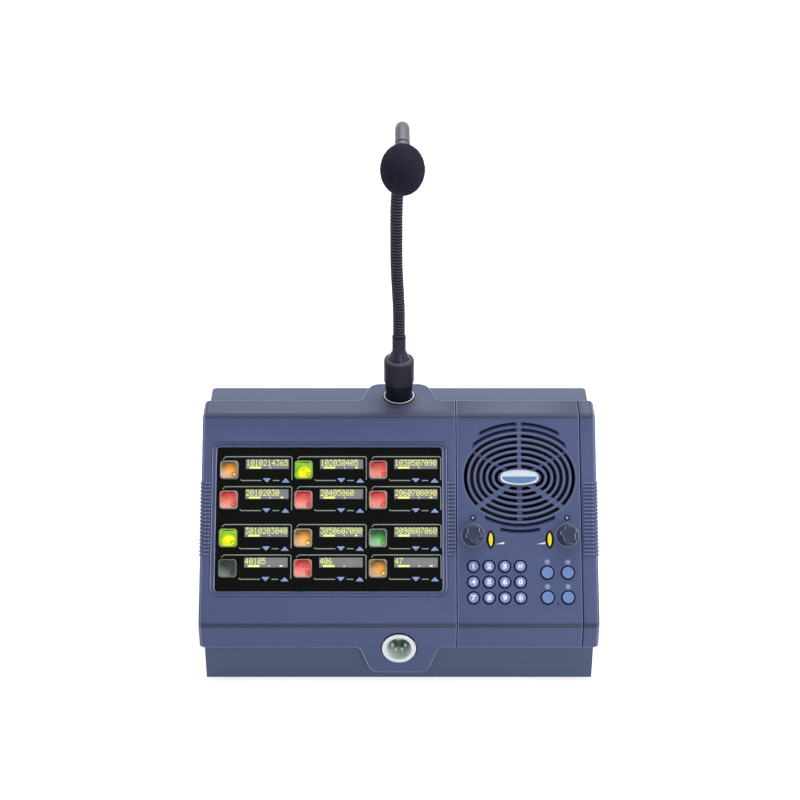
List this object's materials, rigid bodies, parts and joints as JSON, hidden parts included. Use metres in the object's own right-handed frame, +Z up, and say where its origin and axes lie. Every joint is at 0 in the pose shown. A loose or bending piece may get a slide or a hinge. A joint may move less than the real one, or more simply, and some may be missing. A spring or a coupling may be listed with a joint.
{
  "type": "desktop intercom panel",
  "caption": "Wedge-shaped desk intercom with lit talk keys and displays, oval speaker grille, dial pad, knobs, headset socket and a gooseneck microphone with foam windscreen.",
  "frame": {"origin": "middle of the footprint, on the floor under the feet", "axes": "+X to the right seen from the front, +Y to the rear, +Z up"},
  "size_m": [0.3074, 0.1655, 0.417],
  "materials": {
    "cover_plastic": "fine moulded texture, blue-grey",
    "base_plastic": "fine moulded texture, darker blue-grey",
    "plate_metal": "dark powder coat",
    "foot_rubber": "matt black rubber",
    "steel": "plated steel",
    "board": "green laminate",
    "jack_plastic": "black moulded plastic",
    "bezel_plastic": "black, fine matt",
    "display": "grey display window",
    "arrow_rubber": "light blue translucent rubber",
    "talk_cap": "milky translucent cap",
    "dial_cap": "periwinkle blue cap, satin",
    "function_cap": "blue cap, satin",
    "knob_plastic": "black, semi-gloss",
    "speaker": "black basket and cone",
    "badge": "plain white and blue oval",
    "light_lens": "clear grey lens",
    "level_lens": "yellow lens",
    "socket_metal": "bright nickel",
    "contact_metal": "plated contacts in an insulator",
    "mic_metal": "satin black",
    "neck_metal": "satin black flexible tube",
    "foam": "black open-cell foam"
  },
  "bodies": {
    "case": {"base_shell": "base_plastic", "bottom_plate": "plate_metal", "feet": "foot_rubber", "case_screws": "steel", "main_board": "board", "line_jacks": "jack_plastic", "power_inlet": "jack_plastic", "key_cover": "cover_plastic", "control_panel": "cover_plastic", "end_cap": "cover_plastic", "key_bezel": "bezel_plastic", "key_displays": "display", "arrow_keys": "arrow_rubber", "key_board": "board", "control_board": "board", "rotary_encoders": "steel", "speaker_driver": "speaker", "grille_badge": "badge", "indicator_lights": "light_lens", "level_lights": "level_lens", "headset_socket": "socket_metal", "headset_contacts": "contact_metal", "mic_socket": "mic_metal", "mic_plug": "mic_metal", "gooseneck_lower": "neck_metal"},
    "talk_key_1": {"talk_key_1": "talk_cap"},
    "talk_key_2": {"talk_key_2": "talk_cap"},
    "talk_key_3": {"talk_key_3": "talk_cap"},
    "talk_key_4": {"talk_key_4": "talk_cap"},
    "talk_key_5": {"talk_key_5": "talk_cap"},
    "talk_key_6": {"talk_key_6": "talk_cap"},
    "talk_key_7": {"talk_key_7": "talk_cap"},
    "talk_key_8": {"talk_key_8": "talk_cap"},
    "talk_key_9": {"talk_key_9": "talk_cap"},
    "talk_key_10": {"talk_key_10": "talk_cap"},
    "talk_key_11": {"talk_key_11": "talk_cap"},
    "talk_key_12": {"talk_key_12": "talk_cap"},
    "dial_key_1": {"dial_key_1": "dial_cap"},
    "dial_key_2": {"dial_key_2": "dial_cap"},
    "dial_key_3": {"dial_key_3": "dial_cap"},
    "dial_key_hash": {"dial_key_hash": "dial_cap"},
    "dial_key_4": {"dial_key_4": "dial_cap"},
    "dial_key_5": {"dial_key_5": "dial_cap"},
    "dial_key_6": {"dial_key_6": "dial_cap"},
    "dial_key_0": {"dial_key_0": "dial_cap"},
    "dial_key_7": {"dial_key_7": "dial_cap"},
    "dial_key_8": {"dial_key_8": "dial_cap"},
    "dial_key_9": {"dial_key_9": "dial_cap"},
    "dial_key_star": {"dial_key_star": "dial_cap"},
    "function_key_1": {"function_key_1": "function_cap"},
    "function_key_2": {"function_key_2": "function_cap"},
    "function_key_3": {"function_key_3": "function_cap"},
    "function_key_4": {"function_key_4": "function_cap"},
    "main_knob": {"main_knob": "knob_plastic"},
    "aux_knob": {"aux_knob": "knob_plastic"},
    "mic_lock_sleeve": {"mic_lock_sleeve": "mic_metal"},
    "gooseneck_middle": {"gooseneck_middle": "neck_metal"},
    "gooseneck_upper": {"gooseneck_upper": "neck_metal", "mic_capsule": "mic_metal", "windscreen": "foam"}
  },
  "joints": [
    {"name": "gooseneck_nod", "type": "hinge", "parent": "case", "child": "gooseneck_middle", "pos_m": [-0.00163, 0.06398, 0.28526], "axis": [1, 0, 0], "range_deg": [-40, 40]},
    {"name": "gooseneck_sway", "type": "hinge", "parent": "gooseneck_middle", "child": "gooseneck_upper", "pos_m": [-0.00164, 0.06398, 0.34126], "axis": [0, 1, 0], "range_deg": [-40, 40]},
    {"name": "mic_lock_turn", "type": "hinge", "parent": "case", "child": "mic_lock_sleeve", "pos_m": [0, 0.06398, 0.19146], "axis": [0, 0, 1], "continuous": true},
    {"name": "main_knob_turn", "type": "hinge", "parent": "case", "child": "main_knob", "pos_m": [0.0569, -0.02879, 0.10499], "axis": [0, -0.7071, 0.7071], "continuous": true},
    {"name": "aux_knob_turn", "type": "hinge", "parent": "case", "child": "aux_knob", "pos_m": [0.1293, -0.02879, 0.10499], "axis": [0, -0.7071, 0.7071], "continuous": true},
    {"name": "talk_key_1_press", "type": "slide", "parent": "case", "child": "talk_key_1", "axis": [0, 0.7071, -0.7071], "range_m": [0, 0.002], "stiffness_N_per_m": 300, "springref_m": -0.001},
    {"name": "talk_key_2_press", "type": "slide", "parent": "case", "child": "talk_key_2", "axis": [0, 0.7071, -0.7071], "range_m": [0, 0.002], "stiffness_N_per_m": 300, "springref_m": -0.001},
    {"name": "talk_key_3_press", "type": "slide", "parent": "case", "child": "talk_key_3", "axis": [0, 0.7071, -0.7071], "range_m": [0, 0.002], "stiffness_N_per_m": 300, "springref_m": -0.001},
    {"name": "talk_key_4_press", "type": "slide", "parent": "case", "child": "talk_key_4", "axis": [0, 0.7071, -0.7071], "range_m": [0, 0.002], "stiffness_N_per_m": 300, "springref_m": -0.001},
    {"name": "talk_key_5_press", "type": "slide", "parent": "case", "child": "talk_key_5", "axis": [0, 0.7071, -0.7071], "range_m": [0, 0.002], "stiffness_N_per_m": 300, "springref_m": -0.001},
    {"name": "talk_key_6_press", "type": "slide", "parent": "case", "child": "talk_key_6", "axis": [0, 0.7071, -0.7071], "range_m": [0, 0.002], "stiffness_N_per_m": 300, "springref_m": -0.001},
    {"name": "talk_key_7_press", "type": "slide", "parent": "case", "child": "talk_key_7", "axis": [0, 0.7071, -0.7071], "range_m": [0, 0.002], "stiffness_N_per_m": 300, "springref_m": -0.001},
    {"name": "talk_key_8_press", "type": "slide", "parent": "case", "child": "talk_key_8", "axis": [0, 0.7071, -0.7071], "range_m": [0, 0.002], "stiffness_N_per_m": 300, "springref_m": -0.001},
    {"name": "talk_key_9_press", "type": "slide", "parent": "case", "child": "talk_key_9", "axis": [0, 0.7071, -0.7071], "range_m": [0, 0.002], "stiffness_N_per_m": 300, "springref_m": -0.001},
    {"name": "talk_key_10_press", "type": "slide", "parent": "case", "child": "talk_key_10", "axis": [0, 0.7071, -0.7071], "range_m": [0, 0.002], "stiffness_N_per_m": 300, "springref_m": -0.001},
    {"name": "talk_key_11_press", "type": "slide", "parent": "case", "child": "talk_key_11", "axis": [0, 0.7071, -0.7071], "range_m": [0, 0.002], "stiffness_N_per_m": 300, "springref_m": -0.001},
    {"name": "talk_key_12_press", "type": "slide", "parent": "case", "child": "talk_key_12", "axis": [0, 0.7071, -0.7071], "range_m": [0, 0.002], "stiffness_N_per_m": 300, "springref_m": -0.001},
    {"name": "dial_key_1_press", "type": "slide", "parent": "case", "child": "dial_key_1", "axis": [0, 0.7071, -0.7071], "range_m": [0, 0.0012], "stiffness_N_per_m": 300, "springref_m": -0.001},
    {"name": "dial_key_2_press", "type": "slide", "parent": "case", "child": "dial_key_2", "axis": [0, 0.7071, -0.7071], "range_m": [0, 0.0012], "stiffness_N_per_m": 300, "springref_m": -0.001},
    {"name": "dial_key_3_press", "type": "slide", "parent": "case", "child": "dial_key_3", "axis": [0, 0.7071, -0.7071], "range_m": [0, 0.0012], "stiffness_N_per_m": 300, "springref_m": -0.001},
    {"name": "dial_key_hash_press", "type": "slide", "parent": "case", "child": "dial_key_hash", "axis": [0, 0.7071, -0.7071], "range_m": [0, 0.0012], "stiffness_N_per_m": 300, "springref_m": -0.001},
    {"name": "dial_key_4_press", "type": "slide", "parent": "case", "child": "dial_key_4", "axis": [0, 0.7071, -0.7071], "range_m": [0, 0.0012], "stiffness_N_per_m": 300, "springref_m": -0.001},
    {"name": "dial_key_5_press", "type": "slide", "parent": "case", "child": "dial_key_5", "axis": [0, 0.7071, -0.7071], "range_m": [0, 0.0012], "stiffness_N_per_m": 300, "springref_m": -0.001},
    {"name": "dial_key_6_press", "type": "slide", "parent": "case", "child": "dial_key_6", "axis": [0, 0.7071, -0.7071], "range_m": [0, 0.0012], "stiffness_N_per_m": 300, "springref_m": -0.001},
    {"name": "dial_key_0_press", "type": "slide", "parent": "case", "child": "dial_key_0", "axis": [0, 0.7071, -0.7071], "range_m": [0, 0.0012], "stiffness_N_per_m": 300, "springref_m": -0.001},
    {"name": "dial_key_7_press", "type": "slide", "parent": "case", "child": "dial_key_7", "axis": [0, 0.7071, -0.7071], "range_m": [0, 0.0012], "stiffness_N_per_m": 300, "springref_m": -0.001},
    {"name": "dial_key_8_press", "type": "slide", "parent": "case", "child": "dial_key_8", "axis": [0, 0.7071, -0.7071], "range_m": [0, 0.0012], "stiffness_N_per_m": 300, "springref_m": -0.001},
    {"name": "dial_key_9_press", "type": "slide", "parent": "case", "child": "dial_key_9", "axis": [0, 0.7071, -0.7071], "range_m": [0, 0.0012], "stiffness_N_per_m": 300, "springref_m": -0.001},
    {"name": "dial_key_star_press", "type": "slide", "parent": "case", "child": "dial_key_star", "axis": [0, 0.7071, -0.7071], "range_m": [0, 0.0012], "stiffness_N_per_m": 300, "springref_m": -0.001},
    {"name": "function_key_1_press", "type": "slide", "parent": "case", "child": "function_key_1", "axis": [0, 0.7071, -0.7071], "range_m": [0, 0.0012], "stiffness_N_per_m": 300, "springref_m": -0.001},
    {"name": "function_key_2_press", "type": "slide", "parent": "case", "child": "function_key_2", "axis": [0, 0.7071, -0.7071], "range_m": [0, 0.0012], "stiffness_N_per_m": 300, "springref_m": -0.001},
    {"name": "function_key_3_press", "type": "slide", "parent": "case", "child": "function_key_3", "axis": [0, 0.7071, -0.7071], "range_m": [0, 0.0012], "stiffness_N_per_m": 300, "springref_m": -0.001},
    {"name": "function_key_4_press", "type": "slide", "parent": "case", "child": "function_key_4", "axis": [0, 0.7071, -0.7071], "range_m": [0, 0.0012], "stiffness_N_per_m": 300, "springref_m": -0.001}
  ]
}
